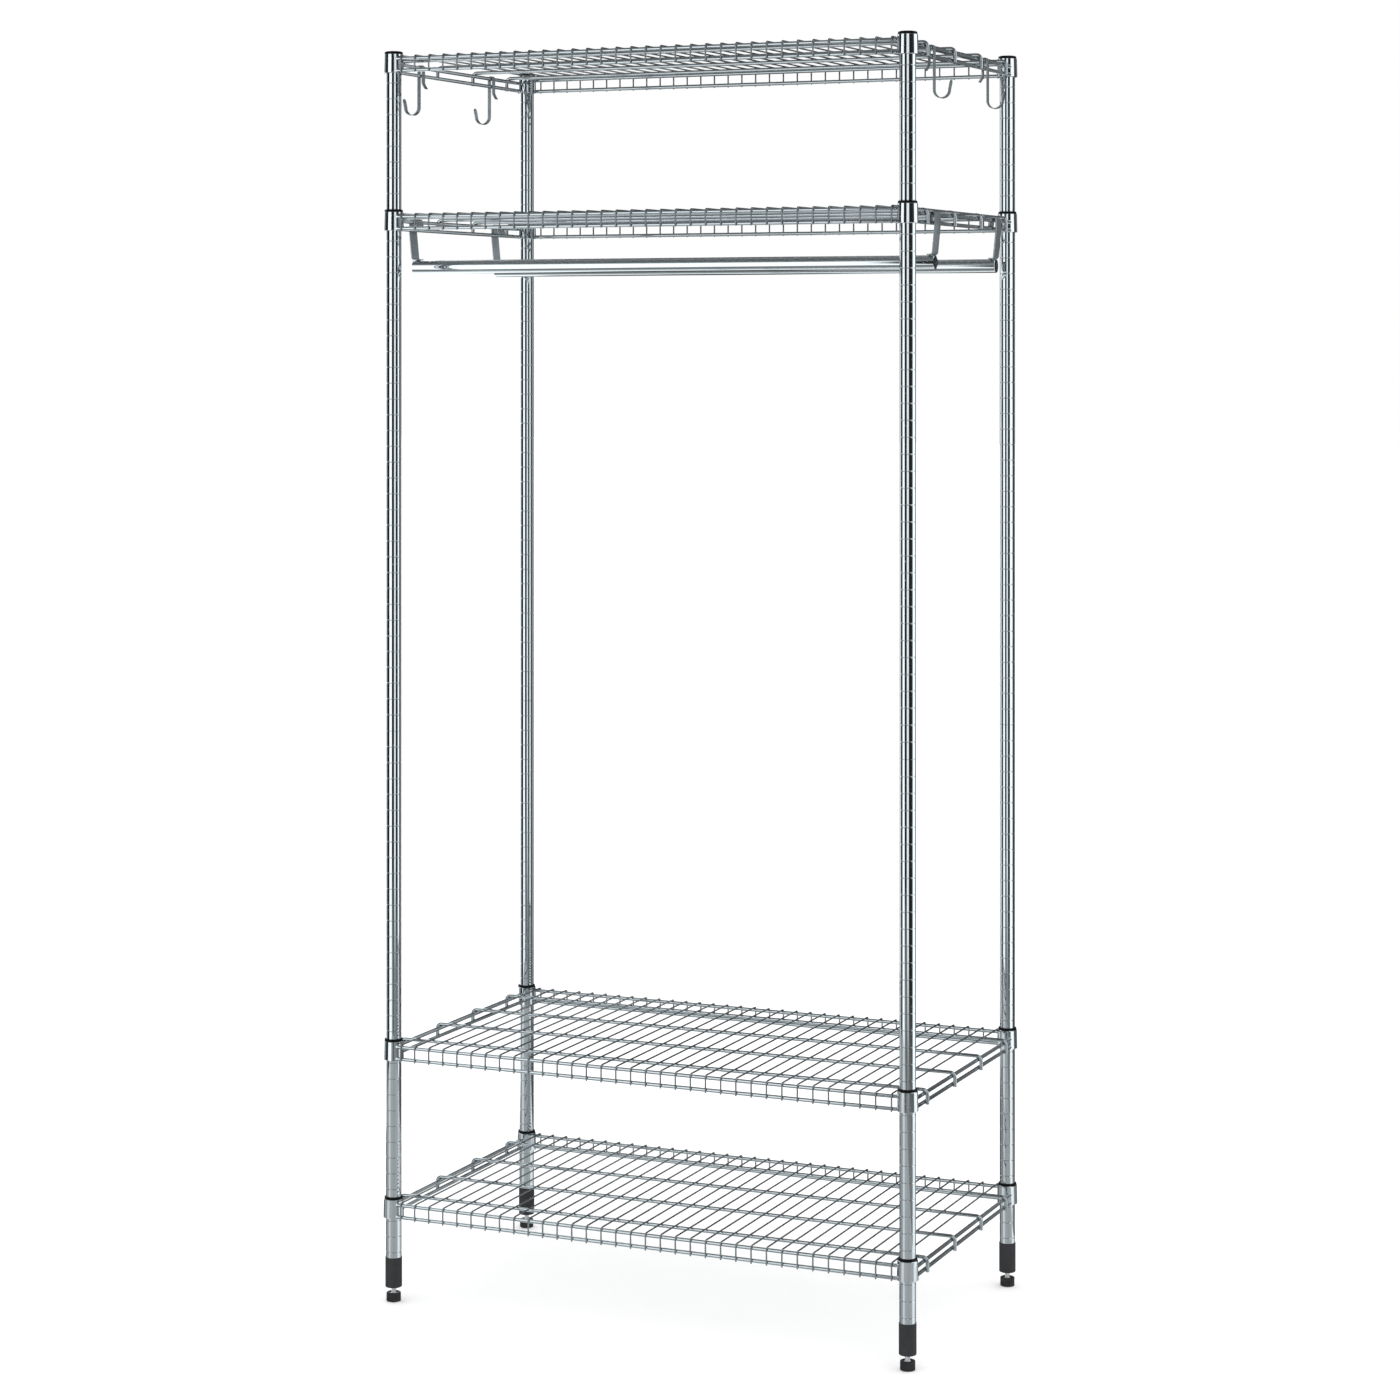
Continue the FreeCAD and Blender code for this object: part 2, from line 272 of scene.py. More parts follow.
lower_first = joint_z - ring_from_joint
upper_first = joint_z + ring_from_joint
lower_metal = post_metal("lower_post_zinc", lower_first)
upper_metal = post_metal("upper_post_zinc", upper_first)
for corner, centre in post_places.items():
    for length, metal, low, high, first, step in (
        ("lower", lower_metal, post_low_z, joint_z, lower_first, -ring_pitch),
        ("upper", upper_metal, joint_z, post_top_z, upper_first, ring_pitch),
    ):
        tube = turned(length + "_tube_" + corner, [post_outline(low, high, first, step)], [centre])
        piece_from(tube, length + "_tube_" + corner, metal, "unit", "post_" + length + "_" + corner)

turned_steel = (90.0, 90.0, 400.0)
stud_light, stud_dark = (0.42, 0.43, 0.44), (0.34, 0.35, 0.36)
stud_steel = plated_metal("stud_steel", stud_light, stud_dark, 0.3, 0.45, turned_steel, 0.00005)
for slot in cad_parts["post_joint_studs"].material_slots:
    slot.material = stud_steel


# Shelf wires
# Drawn steel wire, welded where it crosses and then zinc plated. Thin mat wires run from front to
# back and hook down over the rim; thicker long wires run under them; the rim is two wires a side.
shelves = ("bottom_shelf", "second_shelf", "third_shelf", "top_shelf")
mat_wire_r = 0.0013
long_wire_r = 0.003
edge_wire_r = 0.003
mat_bend_r = 0.0038
long_bend_r = 0.0075
mat_count = 34
long_count = 4
arc_pull = 0.5523
least_pull = 1e-5
wire_round_steps = 4
wire_bend_steps = 5
plain_long_sides = 6
side_wire_lift = 0.0131
front_wire_end = 0.0105
side_wire_end = 0.0115
post_x, post_y = abs(post_places["front_left"][0]), abs(post_places["front_left"][1])
front_wire_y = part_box("bottom_shelf_edge_wires")[1][1] - edge_wire_r
side_wire_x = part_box("bottom_shelf_edge_wires")[1][0] - edge_wire_r
wire_bright, wire_cloudy = (0.60, 0.63, 0.65), (0.46, 0.49, 0.51)
wire_lines = (160.0, 160.0, 160.0)
wire_metal = plated_metal("wire_zinc", wire_bright, wire_cloudy, 0.02, 0.08, wire_lines, 0.000005)
mat_bright, mat_cloudy = (0.42, 0.44, 0.46), (0.32, 0.34, 0.35)
mat_metal = plated_metal("mat_zinc", mat_bright, mat_cloudy, 0.04, 0.1, wire_lines, 0.000005)


def bent_wires(name, paths, radius, bend_r):
    """Wires through their corners, each corner bent to a round, as one mesh."""
    curve = bpy.data.curves.new(name, "CURVE")
    curve.dimensions = "3D"
    curve.bevel_depth = radius
    curve.bevel_resolution = wire_round_steps
    curve.resolution_u = wire_bend_steps
    curve.use_fill_caps = True
    for points in paths:
        path = [Vector(point) for point in points]
        knots = [(path[0], (path[1] - path[0]).normalized(), 0.0)]
        for before, corner, after in zip(path, path[1:], path[2:]):
            into, out = (corner - before).normalized(), (after - corner).normalized()
            knots.append((corner - into * bend_r, into, 1.0))
            knots.append((corner + out * bend_r, out, 1.0))
        knots.append((path[-1], (path[-1] - path[-2]).normalized(), 0.0))
        spline = curve.splines.new("BEZIER")
        spline.bezier_points.add(len(knots) - 1)
        for point, (place, along, bent) in zip(spline.bezier_points, knots):
            pull = along * max(arc_pull * bend_r * bent, least_pull)
            point.co, point.handle_left, point.handle_right = place, place - pull, place + pull
    source = bpy.data.objects.new(name + "_path", curve)
    bpy.context.collection.objects.link(source)
    bent = source.evaluated_get(bpy.context.evaluated_depsgraph_get())
    mesh = bpy.data.meshes.new_from_object(bent)
    bpy.data.objects.remove(source)
    mesh.materials.clear()
    return mesh


# The plain solids' long wires are six-sided, so their boxes reach out to a corner.
long_corner_r = long_wire_r / math.cos(math.pi / plain_long_sides)
for shelf in shelves:
    (left, front, tip_z), (right, back, top_z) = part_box(shelf + "_mat_wires")
    spread = (right - left - 2 * mat_wire_r) / (mat_count - 1)
    front, back, top = front + mat_wire_r, back - mat_wire_r, top_z - mat_wire_r
    paths = []
    for i in range(mat_count):
        x = left + mat_wire_r + i * spread
        paths.append([(x, front, tip_z), (x, front, top), (x, back, top), (x, back, tip_z)])
    mat = bent_wires(shelf + "_mat", paths, mat_wire_r, mat_bend_r)
    piece_from(mat, shelf + "_mat", mat_metal, "unit", shelf + "_mat_wires")

    (left, front, tip_z), (right, back, top_z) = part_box(shelf + "_long_wires")
    spread = (back - front - 2 * long_wire_r) / (long_count - 1)
    left, right, top = left + long_corner_r, right - long_corner_r, top_z - long_corner_r
    paths = []
    for i in range(long_count):
        y = front + long_wire_r + i * spread
        paths.append([(left, y, tip_z), (left, y, top), (right, y, top), (right, y, tip_z)])
    long = bent_wires(shelf + "_long", paths, long_wire_r, long_bend_r)
    piece_from(long, shelf + "_long", wire_metal, "unit", shelf + "_long_wires")

    (left, front, low_z), (right, back, top_z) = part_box(shelf + "_edge_wires")
    low, top = low_z + edge_wire_r, top_z - edge_wire_r
    side_top = low + side_wire_lift
    paths = []
    for y in (front + edge_wire_r, back - edge_wire_r):
        for z in (low, top):
            paths.append([(-post_x + front_wire_end, y, z), (post_x - front_wire_end, y, z)])
    for x in (left + edge_wire_r, right - edge_wire_r):
        for z in (low, side_top):
            paths.append([(x, -post_y + side_wire_end, z), (x, post_y - side_wire_end, z)])
    rim = bent_wires(shelf + "_edge", paths, edge_wire_r, 0.0)
    piece_from(rim, shelf + "_edge", wire_metal, "unit", shelf + "_edge_wires")


# Corner collars and split clips
# Each collar is a short steel cone, rolled and plated, with the rim wires welded to its flank. It
# wedges down over a black plastic clip in two halves, whose rim shows as a ring on top of it.
collar_foot_r = 0.0163
collar_top_r = 0.0156
collar_wall = 0.0011
lip_r = 0.0004
clip_rim_r = 0.01475
clip_rim_round = 0.0008
weld_r = 0.0032
weld_stretch = 1.2
weld_ripple = 0.12
ripple_across = 2600
ripple_up = 2100
front_weld_from_axis = 0.0127
side_weld_from_axis = 0.0138
clip_gap = 0.0001
collar_lines = (700.0, 700.0, 30.0)
collar_bump = 0.000003
collar_metal = plated_metal(
    "collar_zinc", zinc_bright, zinc_cloudy, 0.04, 0.09, collar_lines, collar_bump
)
patch_scale, patch_detail, patch_roughness = 60.0, 4.0, 0.6
patch_from, patch_to, patch_dull = 0.4, 0.75, 0.14
grain_detail, grain_strength = 2.0, 0.6


def moulded_plastic(name, dark, worn, shine, rough, grain, depth):
    """Moulded plastic: two near blacks in soft patches and a fine sparked grain."""
    material = bpy.data.materials.new(name)
    material.use_nodes = True
    tree = material.node_tree
    shader = tree.nodes["Principled BSDF"]
    shader.inputs["Specular IOR Level"].default_value = shine
    place = tree.nodes.new("ShaderNodeTexCoord").outputs["Object"]
    tone = tree.nodes.new("ShaderNodeMix")
    tone.data_type = "RGBA"
    tone.inputs["A"].default_value = (*dark, 1.0)
    tone.inputs["B"].default_value = (*worn, 1.0)
    patches = noise(tree, place, patch_scale, patch_detail, patch_roughness)
    patches = map_range(tree, patches, patch_from, patch_to, 0.0, 1.0)
    link(tree, patches, tone.inputs["Factor"])
    link(tree, tone.outputs["Result"], shader.inputs["Base Color"])
    roughness = map_range(tree, patches, 0.0, 1.0, rough, rough + patch_dull)
    link(tree, roughness, shader.inputs["Roughness"])
    bump = tree.nodes.new("ShaderNodeBump")
    bump.inputs["Strength"].default_value = grain_strength
    bump.inputs["Distance"].default_value = depth
    link(tree, noise(tree, place, grain, grain_detail), bump.inputs["Height"])
    link(tree, bump.outputs["Normal"], shader.inputs["Normal"])
    return material


clip_black, clip_grey = (0.002, 0.002, 0.0025), (0.005, 0.005, 0.0055)
black_clip = moulded_plastic("black_clip", clip_black, clip_grey, 0.12, 0.4, 2600.0, 0.00003)


def collar_outline(base, top):
    """A collar in section, its lips rounded over."""
    foot, head = collar_foot_r, collar_top_r
    return [
        (foot - collar_wall, base + lip_r),
        (foot - collar_wall + lip_r, base),
        (foot - lip_r, base),
        (foot, base + lip_r),
        (head, top - lip_r),
        (head - lip_r, top),
        (head - collar_wall + lip_r, top),
        (head - collar_wall, top - lip_r),
    ]


def weld_beads(shape, places, radius):
    """Small uneven beads of weld, drawn out along the seam they close."""
    for x, y, z, along in places:
        bead = bmesh.ops.create_icosphere(shape, subdivisions=2, radius=radius)["verts"]
        for vert in bead:
            ripple = math.sin(vert.co.x * ripple_across) * math.cos(vert.co.z * ripple_up)
            wide = vert.co * (1 + weld_ripple * ripple)
            stretch = (weld_stretch, 1.0) if along == "x" else (1.0, weld_stretch)
            vert.co = Vector((x + wide.x * stretch[0], y + wide.y * stretch[1], z + wide.z))


for shelf in shelves:
    base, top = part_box(shelf + "_collars")[0][2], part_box(shelf + "_collars")[1][2]
    centres = list(post_places.values())
    mesh = turned(shelf + "_collars", [collar_outline(base, top)] * 4, centres, 64)
    shape = bmesh.new()
    shape.from_mesh(mesh)
    low_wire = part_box(shelf + "_edge_wires")[0][2] + edge_wire_r
    top_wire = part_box(shelf + "_edge_wires")[1][2] - edge_wire_r
    beads = []
    for x, y in centres:
        inward_x, inward_y = -math.copysign(1, x), -math.copysign(1, y)
        front_y = y + inward_y * (post_y - front_wire_y)
        side_x = math.copysign(side_wire_x, x)
        for z in (low_wire, top_wire):
            beads.append((x + inward_x * front_weld_from_axis, front_y, z, "x"))
        for z in (low_wire, low_wire + side_wire_lift):
            beads.append((side_x, y + inward_y * side_weld_from_axis, z, "y"))
    weld_beads(shape, beads, weld_r)
    cones = finished(shape, shelf + "_collar_cones")
    piece_from(cones, shelf + "_collar_cones", collar_metal, "unit", shelf + "_collars")

    rim_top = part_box(shelf + "_clips")[1][2]
    rim = [
        (post_r + clip_gap, base),
        (collar_foot_r - collar_wall - lip_r, base),
        (collar_top_r - collar_wall - lip_r, top),
        (clip_rim_r, top),
        (clip_rim_r, rim_top - clip_rim_round),
        (clip_rim_r - clip_rim_round, rim_top),
        (post_r + clip_gap, rim_top),
    ]
    mesh = turned(shelf + "_clips", [rim] * 4, centres, 64)
    piece_from(mesh, shelf + "_clip_rims", black_clip, "unit", shelf + "_clips")


# Top caps
# Low black plastic domes with a plug that presses into the post.
cap_r = 0.0129
cap_plug_r = 0.0112
cap_round = 0.003
cap_side_share = 0.8
cap_steps = 8
cap_base_z = post_top_z
cap_black, cap_grey = (0.002, 0.002, 0.0025), (0.006, 0.006, 0.0065)
black_plug = moulded_plastic("black_plug", cap_black, cap_grey, 0.15, 0.36, 2200.0, 0.00003)
cap_low_z, cap_top_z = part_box("end_caps")[0][2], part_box("end_caps")[1][2]
crown = cap_top_z - cap_base_z
dome = [(0.0, cap_low_z), (cap_plug_r, cap_low_z), (cap_plug_r, cap_base_z), (cap_r, cap_base_z)]
for k in range(1, cap_steps + 1):
    angle = k / cap_steps * math.pi / 2
    rise = cap_side_share * crown * math.sin(angle)
    dome.append((cap_r - cap_round * (1 - math.cos(angle)), cap_base_z + rise))
dome.append((0.0, cap_top_z))
caps = turned("cap_domes", [dome] * 4, list(post_places.values()), 64)
piece_from(caps, "cap_domes", black_plug, "unit", "end_caps")


# Feet
# A black plastic sleeve round each post's end, and under it a levelling foot: a zinc plated bolt
# with a rolled thread, whose hexagonal head is pressed into a ribbed black pad.
sleeve_r = 0.0134
sleeve_inner_r = 0.01255
sleeve_hole_r = 0.0044
sleeve_round = 0.0008
pad_r = 0.0116
pad_ribs = 18
pad_rib_depth = 0.0007
pad_round = 0.0009
rib_steps = 6
recess_gap = 0.00015
head_height = 0.0053
head_chamfer = 0.0006
chamfer_inset = 0.0012
thread_sides = 20
thread_r = 0.004
thread_pitch = 0.00125
thread_depth = 0.0006
sleeve_black, sleeve_grey = (0.029, 0.030, 0.032), (0.036, 0.037, 0.039)
pad_black, pad_grey = (0.018, 0.018, 0.019), (0.034, 0.034, 0.036)
bolt_bright, bolt_cloudy = (0.90, 0.92, 0.94), (0.80, 0.82, 0.84)
bolt_lines = (300.0, 300.0, 300.0)
bolt_metallic = 0.4
rib_sharpness = 0.5
plastic_bump = 0.00005
black_sleeve = moulded_plastic(
    "black_sleeve", sleeve_black, sleeve_grey, 0.12, 0.5, 1500.0, plastic_bump
)
black_pad = moulded_plastic("black_pad", pad_black, pad_grey, 0.18, 0.42, 1800.0, plastic_bump)
bolt_metal = plated_metal("bolt_zinc", bolt_bright, bolt_cloudy, 0.16, 0.3, bolt_lines, 0.00003)
bolt_shader = bolt_metal.node_tree.nodes["Principled BSDF"]
bolt_shader.inputs["Metallic"].default_value = bolt_metallic

sleeve_low, sleeve_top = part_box("foot_sleeves")[0][2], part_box("foot_sleeves")[1][2]
sleeve_section = [
    (sleeve_hole_r, sleeve_low),
    (sleeve_r - sleeve_round, sleeve_low),
    (sleeve_r, sleeve_low + sleeve_round),
    (sleeve_r, sleeve_top - sleeve_round / 2),
    (sleeve_r - sleeve_round / 2, sleeve_top),
    (sleeve_inner_r, sleeve_top),
    (sleeve_inner_r, post_low_z),
    (sleeve_hole_r, post_low_z),
]
sleeves = turned("sleeve_tubes", [sleeve_section] * 4, list(post_places.values()), 64)
piece_from(sleeves, "sleeve_tubes", black_sleeve, "unit", "foot_sleeves")
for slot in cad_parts["foot_inserts"].material_slots:
    slot.material = black_pad


def hexagon_r(flat_r, angle):
    """How far a hexagon's side is from its middle, with two corners on the X axis."""
    return flat_r / math.cos(angle % (math.pi / 3) - math.pi / 6)


def ribbed_pad(name, x, y, low, high, floor, head_flat_r):
    """A round pad with upright finger ribs and a hexagonal recess for the bolt's head."""
    section = [
        (pad_r - pad_round, low, 0.0),
        (pad_r, low + pad_round, 0.0),
        (pad_r, low + 2 * pad_round, 1.0),
        (pad_r, high - pad_round, 1.0),
        (pad_r - pad_round, high, 1.0),
    ]
    shape = bmesh.new()
    rings = []
    for k in range(pad_ribs * rib_steps):
        angle = 2 * math.pi * k / pad_ribs / rib_steps
        notch = pad_rib_depth * max(0.0, math.cos(pad_ribs * angle)) ** rib_sharpness
        recess_r = hexagon_r(head_flat_r + recess_gap, angle)
        outline = [(r - ribbed * notch, z) for r, z, ribbed in section]
        outline += [(recess_r, high), (recess_r, floor)]
        across, along = math.cos(angle), math.sin(angle)
        rings.append([shape.verts.new((x + r * across, y + r * along, z)) for r, z in outline])
    for a, b in zip(rings, rings[1:] + rings[:1]):
        for i in range(1, len(a)):
            shape.faces.new((a[i - 1], b[i - 1], b[i], a[i]))
    for end in (0, -1):
        shape.faces.new([ring[end] for ring in rings])
    return finished(shape, name)


def threaded_bolt(name, x, y, low, high, flat_r):
    """A hexagonal head with a chamfered top and a shank with a true helical thread."""
    shape = bmesh.new()
    head_top = low + head_height
    rings = []
    for inset, z in ((0.0, low), (0.0, head_top - head_chamfer), (chamfer_inset, head_top)):
        ring = []
        for k in range(6):
            angle = k * math.pi / 3
            r = hexagon_r(flat_r - inset, angle)
            ring.append(shape.verts.new((x + r * math.cos(angle), y + r * math.sin(angle), z)))
        rings.append(ring)
    for a, b in zip(rings, rings[1:]):
        for k in range(6):
            shape.faces.new((a[k - 1], a[k], b[k], b[k - 1]))
    shape.faces.new(rings[0])
    shape.faces.new(rings[-1])
    step = thread_pitch / thread_sides * 2
    previous = None
    for k in range(int((high - head_top) / step) + 2):
        height = head_top - step + k * step
        ring = []
        for n in range(thread_sides):
            angle = 2 * math.pi * n / thread_sides
            climb = (height / thread_pitch - n / thread_sides) % 1.0
            r = thread_r - thread_depth * abs(2 * climb - 1)
            z = min(height, high)
            ring.append(shape.verts.new((x + r * math.cos(angle), y + r * math.sin(angle), z)))
        if previous:
            for n in range(thread_sides):
                shape.faces.new((previous[n - 1], previous[n], ring[n], ring[n - 1]))
        else:
            shape.faces.new(ring)
        previous = ring
    shape.faces.new(previous)
    return finished(shape, name)


for corner, (x, y) in post_places.items():
    (_, _, pad_low), (_, _, pad_high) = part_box("foot_pad_" + corner)
    (_, head_front, bolt_low), (_, head_back, bolt_high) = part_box("foot_bolt_" + corner)
    head_flat_r = (head_back - head_front) / 2
    pad = ribbed_pad("pad_" + corner, x, y, pad_low, pad_high, bolt_low, head_flat_r)
    piece_from(pad, "pad_" + corner, black_pad, "foot_" + corner, "foot_pad_" + corner)
    bolt = threaded_bolt("bolt_" + corner, x, y, bolt_low, bolt_high, head_flat_r)
    piece_from(bolt, "bolt_" + corner, bolt_metal, "foot_" + corner, "foot_bolt_" + corner)


# Clothes rails
# Two bright plated steel tubes, open at both ends, under the third shelf. A flat strip at each end
# hooks over the shelf's side wire, leans in and turns under itself to be welded on the tube.
rail_wall = 0.001
rail_end_round = 0.0003
strip_wire_gap = 0.0003
strip_corner = 0.0003
loop_steps = 10
arm_thick = 0.002
arm_lean = 0.004
arm_slack = 0.0026
arm_bend_r = 0.004
arm_bend_steps = 8
arm_foot = 0.009
arm_tail = 0.0115
arm_flare = 0.002
arm_weld_r = 0.0016
arm_weld_out = 0.0036
rail_bright, rail_cloudy = (0.74, 0.77, 0.79), (0.66, 0.69, 0.71)
rail_lines = (12.0, 700.0, 700.0)
rail_metal = plated_metal("rail_zinc", rail_bright, rail_cloudy, 0.03, 0.07, rail_lines, 0.000002)
bore_light, bore_dark = (0.40, 0.42, 0.43), (0.30, 0.32, 0.33)
bore_steel = plated_metal("bore_steel", bore_light, bore_dark, 0.45, 0.6, rail_lines, 0.00003)
strip_bright, strip_cloudy = (0.50, 0.53, 0.55), (0.42, 0.45, 0.47)
strip_lines = (260.0, 900.0, 30.0)
strip_bump = 0.00001
strip_metal = plated_metal(
    "strip_zinc", strip_bright, strip_cloudy, 0.28, 0.42, strip_lines, strip_bump
)


def arc_points(centre, radius, start, end, steps):
    """Points on an arc in a strip's own plane, angles in degrees."""
    turns = [math.radians(start + (end - start) * i / steps) for i in range(steps + 1)]
    return [(centre[0] + radius * math.cos(a), centre[1] + radius * math.sin(a)) for a in turns]


def bent_strip(shape, side, y, stations, thick):
    """A flat strip with softened corners through stations of (out, up, half its width)."""
    rings = []
    for i, (x, z, half) in enumerate(stations):
        ahead, behind = stations[min(i + 1, len(stations) - 1)], stations[max(i - 1, 0)]
        into = Vector((x - behind[0], z - behind[1])).normalized() if i else None
        out = Vector((ahead[0] - x, ahead[1] - z)).normalized() if ahead[:2] != (x, z) else into
        into = into or out
        normal = Vector((-into.y - out.y, into.x + out.x)).normalized()
        reach = thick / 2 / max(normal.dot(Vector((-into.y, into.x))), 0.5)
        corner = min(strip_corner, half / 2)
        ring = []
        for end, inset_across, inset_up in ((-1, 1, 0), (1, 1, 0), (1, 0, 1)):
            ring.append((end * (half - inset_across * corner), reach - inset_up * corner))
        ring += [(a, -n) for a, n in reversed(ring[1:])] + [(-ring[1][0], -reach)]
        ring += [(-half, -reach + corner), (-half, reach - corner)]
        rings.append([])
        for across, up in ring:
            place = (side * (x + normal.x * up), y + across, z + normal.y * up)
            rings[-1].append(shape.verts.new(place))
    for a, b in zip(rings, rings[1:]):
        for i in range(len(a)):
            shape.faces.new((a[i - 1], b[i - 1], b[i], a[i]))
    shape.faces.new(rings[0])
    shape.faces.new(rings[-1])


def hooked_over(wire_z, thick, slack=0.0):
    """A strip's path over a side wire, from its inner side to its outer, which may be slack."""
    radius = edge_wire_r + strip_wire_gap + thick / 2
    inner = arc_points((side_wire_x, wire_z), radius, 180, 90, loop_steps)
    outer = arc_points((side_wire_x + slack, wire_z), radius, 90, 0, loop_steps)
    return inner + (outer if slack else outer[1:])


for rail in ("front_rail", "back_rail"):
    (left, front, low), (right, back, high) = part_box(rail + "_tube")
    rail_r, rail_y, rail_z = (back - front) / 2, (back + front) / 2, (low + high) / 2
    bore = rail_r - rail_wall
    section = [
        (bore, left + rail_end_round),
        (bore + rail_end_round, left),
        (rail_r - rail_end_round, left),
        (rail_r, left + rail_end_round),
        (rail_r, right - rail_end_round),
        (rail_r - rail_end_round, right),
        (bore + rail_end_round, right),
        (bore, right - rail_end_round),
    ]
    tube = turned(rail + "_open_tube", [section], [(0.0, 0.0)], 96)
    tube.transform(Matrix.Translation((0.0, rail_y, rail_z)) @ Matrix.Rotation(math.pi / 2, 4, "Y"))
    piece = piece_from(tube, rail + "_open_tube", rail_metal, rail, rail + "_tube")
    piece.data.materials.append(bore_steel)
    for face in piece.data.polygons:
        from_axis = math.hypot(face.center.y - rail_y, face.center.z - rail_z)
        face.material_index = 1 if from_axis < bore else 0

    (_, arm_front, _), (_, arm_back, _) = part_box(rail + "_arms")
    low_rim_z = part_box("third_shelf_edge_wires")[0][2]
    wire_z = low_rim_z + edge_wire_r + side_wire_lift
    loop = hooked_over(wire_z, arm_thick, arm_slack)
    foot_z = rail_z + rail_r + arm_thick / 2
    knee_x = loop[-1][0] - arm_lean
    knee_middle = (knee_x - arm_bend_r, foot_z + arm_bend_r)
    knee = arc_points(knee_middle, arm_bend_r, 0, -90, arm_bend_steps)
    path = [(loop[0][0] - arm_flare, wire_z - arm_tail)] + loop + [(loop[-1][0], low_rim_z)]
    path += knee + [(knee_x - arm_foot, foot_z)]
    half = (arm_back - arm_front) / 2
    shape = bmesh.new()
    for side in (-1, 1):
        bent_strip(shape, side, rail_y, [(x, z, half) for x, z in path], arm_thick)
        weld_x = side * (knee_x - arm_foot / 2)
        seams = [(weld_x, rail_y + out * arm_weld_out, rail_z + rail_r, "x") for out in (-1, 1)]
        weld_beads(shape, seams, arm_weld_r)
    arms = finished(shape, rail + "_strips")
    piece_from(arms, rail + "_strips", strip_metal, rail, rail + "_arms")


# Coat hooks
# Each is one narrow steel strip: a short flared tail inside the top shelf's side wire, a round bend
# over it, a long drop outside and an open bowl with a rounded tip. They slide along the wire.
hook_thick = 0.0015
hook_r = 0.0124
hook_drop = 0.0645
hook_tip_rise = 0.015
hook_tip_lean = 0.003
hook_tail = 0.0235
hook_flare_length = 0.011
hook_flare = 0.0055
flare_power = 1.5
bowl_steps = 32
tip_steps = 6
flare_steps = 6


def rounded_tip(path, half):
    """A strip's stations along a path whose last run ends in a half round."""
    stations = [(x, z, half) for x, z in path[:-1]]
    tip, back = Vector(path[-1]), (Vector(path[-2]) - Vector(path[-1])).normalized()
    for k in range(tip_steps):
        angle = k / tip_steps * math.pi / 2
        place = tip + back * half * (1 - math.sin(angle))
        stations.append((place.x, place.y, half * math.cos(angle)))
    return stations


for hook in ("hook_left_front", "hook_left_back", "hook_right_front", "hook_right_back"):
    (_, front, _), (_, back, _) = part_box(hook)
    wire_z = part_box("top_shelf_edge_wires")[0][2] + edge_wire_r + side_wire_lift
    loop = hooked_over(wire_z, hook_thick)
    inner, outer = loop[0][0], loop[-1][0]
    flare = []
    for k in range(flare_steps):
        share = 1 - k / flare_steps
        out = hook_flare * share ** flare_power
        flare.append((inner - out, wire_z - hook_tail - hook_flare_length * share))
    bowl_z = wire_z - hook_drop
    bowl = arc_points((outer + hook_r, bowl_z), hook_r, 180, 360, bowl_steps)
    tip = (outer + 2 * hook_r + hook_tip_lean, bowl_z + hook_tip_rise)
    path = flare + [(inner, wire_z - hook_tail)] + loop + bowl + [tip]
    shape = bmesh.new()
    side = -1 if "left" in hook else 1
    bent_strip(shape, side, (front + back) / 2, rounded_tip(path, (back - front) / 2), hook_thick)
    piece_from(finished(shape, hook + "_strip"), hook + "_strip", strip_metal, hook, hook)


# Studio
# A plain near-white floor in a soft white room. The plating mirrors a near round wall of tall white
# panels with dark gaps, the grey floor and the ceiling; the eye sees only white behind the unit.
view_turn = math.radians(23.626)
camera_place = (2.1215, -4.8620, 1.5534)
camera_sensor, camera_lens, camera_shift = 36.0, 83.985, -0.2598
floor_gap = 0.0002
floor_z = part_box("foot_pad_front_left")[0][2] - floor_gap
floor_half = 40.0
floor_pale, floor_paler = (0.93, 0.93, 0.93), (0.95, 0.95, 0.95)
floor_roughness = 0.9
floor_waves = 0.8
floor_mesh = bpy.data.meshes.new("studio_floor")
floor_corners = [
    (side * floor_half, end * floor_half, floor_z)
    for side, end in ((-1, -1), (1, -1), (1, 1), (-1, 1))
]
floor_mesh.from_pydata(floor_corners, [], [(0, 1, 2, 3)])
floor = bpy.data.objects.new("studio_floor", floor_mesh)
bpy.context.collection.objects.link(floor)
floor.visible_glossy = False
paint = bpy.data.materials.new("studio_floor_paint")
paint.use_nodes = True
painted = paint.node_tree.nodes["Principled BSDF"]
painted.inputs["Roughness"].default_value = floor_roughness
painted.inputs["Specular IOR Level"].default_value = 0.0
floor_place = paint.node_tree.nodes.new("ShaderNodeTexCoord").outputs["Object"]
floor_tone = paint.node_tree.nodes.new("ShaderNodeMix")
floor_tone.data_type = "RGBA"
floor_tone.inputs["A"].default_value = (*floor_pale, 1.0)
floor_tone.inputs["B"].default_value = (*floor_paler, 1.0)
link(paint.node_tree, noise(paint.node_tree, floor_place, floor_waves), floor_tone.inputs["Factor"])
link(paint.node_tree, floor_tone.outputs["Result"], painted.inputs["Base Color"])
floor_mesh.materials.append(paint)

room = bpy.data.worlds.new("studio_room")
bpy.context.scene.world = room
room.use_nodes = True


def maths(tree, operation, *values):
    node = tree.nodes.new("ShaderNodeMath")
    node.operation = operation
    for socket, value in zip(node.inputs, values):
        if isinstance(value, float):
            socket.default_value = value
        else:
            link(tree, value, socket)
    return node.outputs["Value"]


half_turn = 180.0
per_turn = 1 / (2 * math.pi)
studio_tint = (0.965, 1.025, 1.04)


